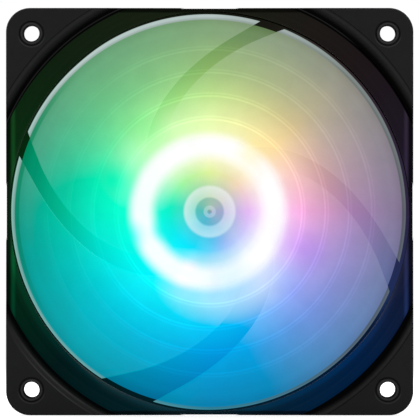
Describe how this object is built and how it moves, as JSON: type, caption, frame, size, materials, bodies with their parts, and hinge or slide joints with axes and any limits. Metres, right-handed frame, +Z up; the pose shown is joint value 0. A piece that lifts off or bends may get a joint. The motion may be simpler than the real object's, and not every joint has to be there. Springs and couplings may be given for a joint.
{
  "type": "case fan",
  "caption": "Square axial case fan with wide swept translucent blades, hub lighting, rubber corner pads and corner screw holes.",
  "frame": {"origin": "on the spin axis, halfway between the front and rear faces, which is the centre of the whole fan", "axes": "+Y along the spin axis from the intake face to the outlet face, +Z up, +X to the right for someone who faces the intake"},
  "size_m": [0.12, 0.025, 0.12],
  "materials": {
    "frame_plastic": "black moulded plastic, satin flanges and a polished throat",
    "pad_rubber": "matt dark grey rubber",
    "blade_plastic": "frosted translucent plastic, lit from the hub",
    "label_foil": "blank satin foil",
    "bearing_brass": "turned",
    "bearing_bronze": "sintered",
    "insulator_plastic": "moulded nylon",
    "core_steel": "stacked laminations",
    "coil_copper": "enamelled copper wire",
    "board_laminate": "green solder mask",
    "chip_plastic": "moulded epoxy",
    "capacitor_can": "drawn can",
    "led_lens": "white package with a clear lens",
    "yoke_steel": "drawn and plated",
    "magnet_ferrite": "bonded ferrite",
    "shaft_steel": "ground"
  },
  "bodies": {
    "frame": {"fan_frame": "frame_plastic", "front_pad_1": "pad_rubber", "front_pad_2": "pad_rubber", "front_pad_3": "pad_rubber", "front_pad_4": "pad_rubber", "rear_pad_1": "pad_rubber", "rear_pad_2": "pad_rubber", "rear_pad_3": "pad_rubber", "rear_pad_4": "pad_rubber", "rear_label": "label_foil", "bearing_tube": "bearing_brass", "bearing_sleeve": "bearing_bronze", "oil_seal_washer": "insulator_plastic", "thrust_pad": "insulator_plastic", "bearing_end_cap": "frame_plastic", "stator_core": "core_steel", "bobbin_front": "insulator_plastic", "bobbin_rear": "insulator_plastic", "coil_1": "coil_copper", "coil_2": "coil_copper", "coil_3": "coil_copper", "coil_4": "coil_copper", "circuit_board": "board_laminate", "driver_chip": "chip_plastic", "hall_sensor": "chip_plastic", "capacitor": "capacitor_can", "led_1": "led_lens", "led_2": "led_lens", "led_3": "led_lens", "led_4": "led_lens", "led_5": "led_lens", "led_6": "led_lens", "led_7": "led_lens", "led_8": "led_lens"},
    "rotor": {"impeller": "blade_plastic", "rotor_yoke": "yoke_steel", "ring_magnet": "magnet_ferrite", "shaft_bush": "bearing_brass", "shaft": "shaft_steel", "retaining_clip": "shaft_steel"}
  },
  "joints": [
    {"name": "impeller_spin", "type": "hinge", "parent": "frame", "child": "rotor", "pos_m": [0, 0, 0], "axis": [0, -1, 0], "continuous": true}
  ]
}
